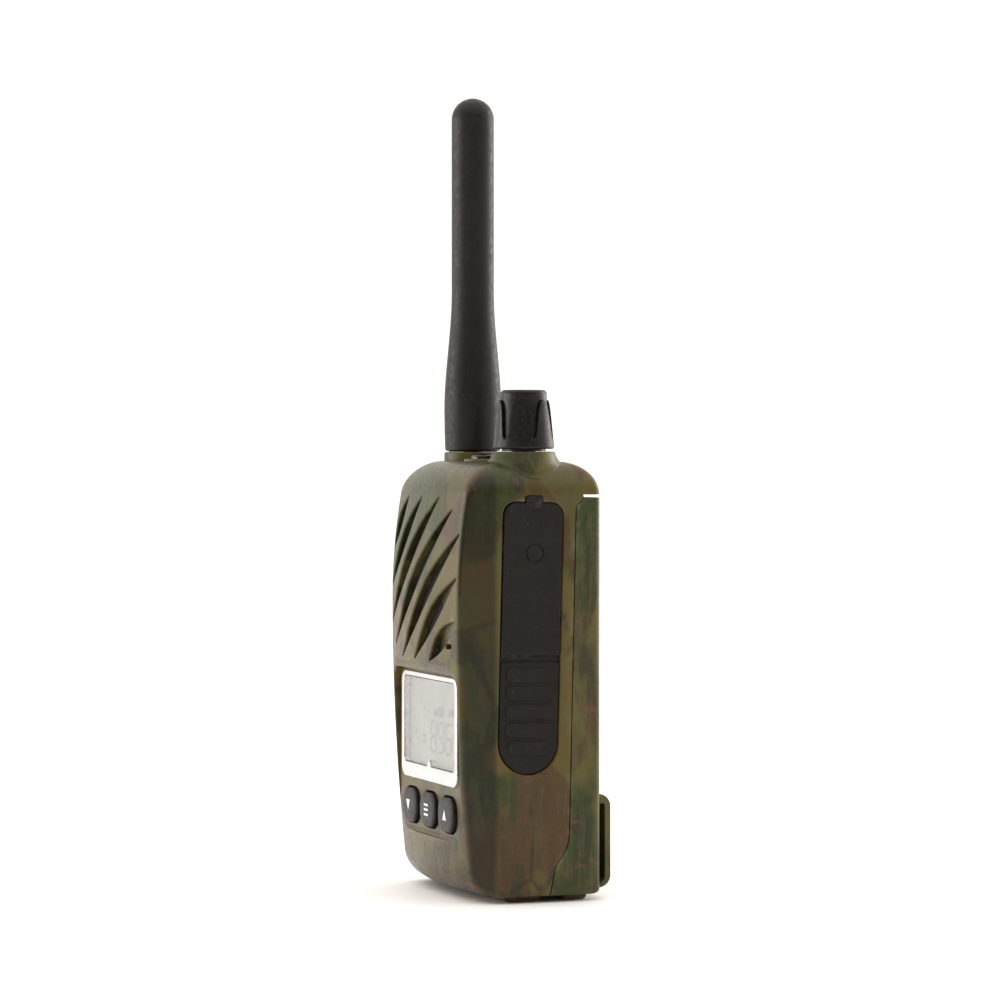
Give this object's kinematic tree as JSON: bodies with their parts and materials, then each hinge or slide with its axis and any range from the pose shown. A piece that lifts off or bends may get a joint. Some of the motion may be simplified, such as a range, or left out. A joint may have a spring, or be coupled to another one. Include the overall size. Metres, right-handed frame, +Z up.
{
  "type": "handheld two-way radio",
  "caption": "Hand-held two-way radio with whip antenna, volume knob, display, keypad, speaker grille, side sockets under a rubber cover and a slide-in battery.",
  "frame": {"origin": "centre of the outline at the level of the feet", "axes": "+X to the right as the display is faced, +Y from the display to the back, +Z up along the antenna"},
  "size_m": [0.0603, 0.0428, 0.2056],
  "materials": {
    "camo_case": "moulded, camouflage print",
    "camo_battery": "moulded, camouflage print",
    "black_rubber": "moulded rubber",
    "antenna_rubber": "moulded rubber",
    "black_key": "satin",
    "knob_plastic": "soft-touch",
    "bezel_chrome": "satin chrome",
    "window_clear": "clear",
    "lcd_grey": "liquid crystal cell",
    "diffuser_white": "white",
    "circuit_board": "solder mask",
    "plated_steel": "tin plated",
    "magnet_steel": "plated",
    "speaker_paper": "coated",
    "cloth_black": "woven",
    "foam_black": "foam",
    "silicone_grey": "silicone",
    "chip_black": "moulded",
    "moulding_black": "moulded",
    "die_cast": "die cast",
    "contact_gold": "gold plated",
    "copper_wire": "copper wire",
    "core_white": "glass-filled rod",
    "cell_blue": "wrapped cell"
  },
  "bodies": {
    "radio": {"front_case": "camo_case", "grille_cloth": "cloth_black", "speaker_gasket": "foam_black", "speaker_frame": "plated_steel", "speaker_cone": "speaker_paper", "speaker_magnet": "magnet_steel", "mic_boot": "silicone_grey", "mic_capsule": "plated_steel", "display_bezel": "bezel_chrome", "display_window": "window_clear", "lcd_glass": "lcd_grey", "lcd_backlight": "diffuser_white", "display_board": "circuit_board", "key_switches": "plated_steel", "keypad_mat": "silicone_grey", "radio_board": "circuit_board", "board_screws": "plated_steel", "shield_can": "plated_steel", "board_chips": "chip_black", "board_link": "moulding_black", "socket_block": "moulding_black", "chassis": "die_cast", "chassis_seal": "silicone_grey", "chassis_screws": "plated_steel", "contact_block": "moulding_black", "contact_pins": "contact_gold", "encoder_body": "die_cast", "encoder_nut": "plated_steel", "antenna_sheath": "antenna_rubber", "antenna_core": "core_white", "antenna_coil": "copper_wire", "antenna_stud": "contact_gold", "antenna_nut": "plated_steel", "top_key_ring": "camo_case", "top_switch": "plated_steel", "top_key_board": "circuit_board", "ptt_switch": "plated_steel", "call_switch": "plated_steel", "cover_anchor": "black_rubber", "front_feet": "black_rubber"},
    "knob": {"volume_knob": "knob_plastic", "knob_shaft": "contact_gold"},
    "down_key": {"key_down": "black_key"},
    "menu_key": {"key_menu": "black_key"},
    "up_key": {"key_up": "black_key"},
    "top_button": {"top_key": "black_key"},
    "talk_key": {"ptt_key": "black_rubber"},
    "side_call_key": {"call_key": "black_rubber"},
    "socket_flap": {"cover_flap": "black_rubber"},
    "battery": {"battery_cover": "camo_battery", "battery_tray": "moulding_black", "battery_cells": "cell_blue", "battery_board": "circuit_board", "battery_pads": "contact_gold", "charge_pads": "contact_gold", "strap_loop": "camo_battery", "rear_feet": "black_rubber"}
  },
  "joints": [
    {"name": "volume_turn", "type": "hinge", "parent": "radio", "child": "knob", "pos_m": [0.0192, 0.0007, 0.1138], "axis": [0, 0, -1], "range_deg": [0, 300]},
    {"name": "down_press", "type": "slide", "parent": "radio", "child": "down_key", "axis": [0, 1, 0], "range_m": [0, 0.0007], "stiffness_N_per_m": 600, "springref_m": -0.0005},
    {"name": "menu_press", "type": "slide", "parent": "radio", "child": "menu_key", "axis": [0, 1, 0], "range_m": [0, 0.0007], "stiffness_N_per_m": 600, "springref_m": -0.0005},
    {"name": "up_press", "type": "slide", "parent": "radio", "child": "up_key", "axis": [0, 1, 0], "range_m": [0, 0.0007], "stiffness_N_per_m": 600, "springref_m": -0.0005},
    {"name": "top_press", "type": "slide", "parent": "radio", "child": "top_button", "axis": [0, 0, -1], "range_m": [0, 0.0006], "stiffness_N_per_m": 600, "springref_m": -0.0005},
    {"name": "talk_press", "type": "slide", "parent": "radio", "child": "talk_key", "axis": [1, 0, 0], "range_m": [0, 0.0008], "stiffness_N_per_m": 600, "springref_m": -0.0005},
    {"name": "call_press", "type": "slide", "parent": "radio", "child": "side_call_key", "axis": [1, 0, 0], "range_m": [0, 0.0008], "stiffness_N_per_m": 600, "springref_m": -0.0005},
    {"name": "flap_hinge", "type": "hinge", "parent": "radio", "child": "socket_flap", "pos_m": [0.0293, -0.0013, 0.06135], "axis": [0, 0.9997, -0.0244], "range_deg": [0, 125], "stiffness_Nm_per_rad": 0.002, "springref_deg": -17.19},
    {"name": "battery_slide", "type": "slide", "parent": "radio", "child": "battery", "axis": [0, 1, 0], "range_m": [0, 0.025]}
  ]
}
